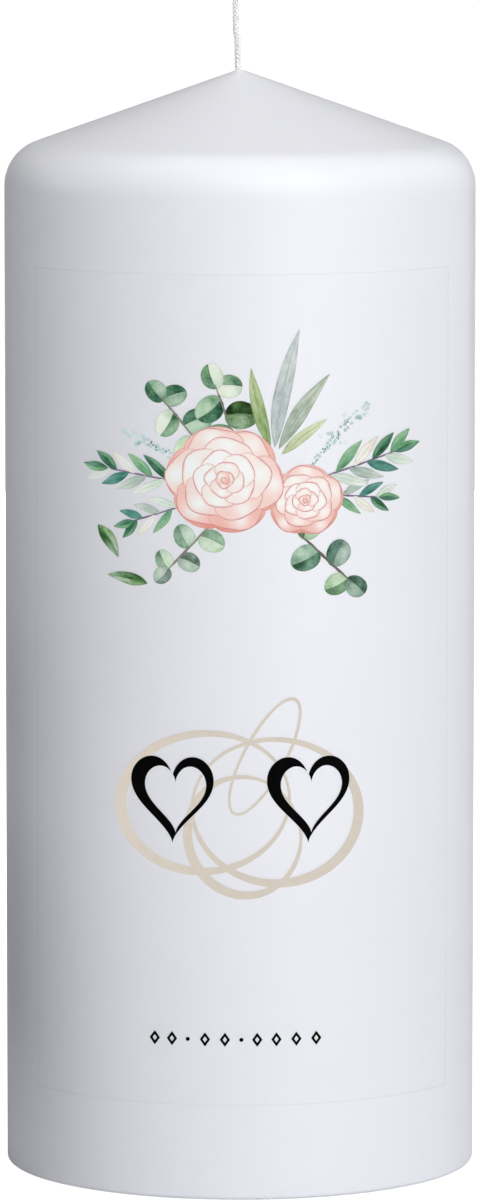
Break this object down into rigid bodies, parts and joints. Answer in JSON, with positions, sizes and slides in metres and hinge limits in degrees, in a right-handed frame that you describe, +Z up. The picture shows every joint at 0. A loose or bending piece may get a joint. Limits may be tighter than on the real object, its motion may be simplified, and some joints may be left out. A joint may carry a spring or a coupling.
{
  "type": "unity candle",
  "caption": "Wide ivory-white pillar candle with a low conical top and a thin wick, and a clear film round the front printed with a rose spray, hearts over rings and a small ornament row.",
  "frame": {"origin": "centre of the flat base, where the pillar stands on a table", "axes": "+Z up along the pillar and its wick; the printed front faces -Y; +X to the viewer's right"},
  "size_m": [0.07, 0.0701, 0.1764],
  "materials": {
    "wax_core": "pressed granular wax",
    "wax_coat": "smooth satin over-dip",
    "wick": "braided cotton, lightly waxed",
    "sustainer": "tinned sheet",
    "clear_film": "clear transfer film",
    "ink_blush": "printed watercolour",
    "ink_leaf": "printed watercolour",
    "ink_beige": "printed flat colour",
    "ink_black": "printed flat colour"
  },
  "bodies": {
    "root": {"wax_core": "wax_core", "dip_coat": "wax_coat", "wick": "wick", "wick_sustainer": "sustainer", "decal_film": "clear_film", "print_rose_large": "ink_blush", "print_rose_small": "ink_blush", "print_eucalyptus_top": "ink_leaf", "print_tall_leaves": "ink_leaf", "print_olive_branch_left": "ink_leaf", "print_olive_branch_right": "ink_leaf", "print_eucalyptus_lower_left": "ink_leaf", "print_eucalyptus_lower_right": "ink_leaf", "print_flower_spike_left": "ink_leaf", "print_flower_spike_right": "ink_leaf", "print_loose_leaves": "ink_leaf", "print_flourish": "ink_beige", "print_heart_left": "ink_black", "print_heart_right": "ink_black", "print_ornament_row": "ink_black"}
  },
  "joints": []
}
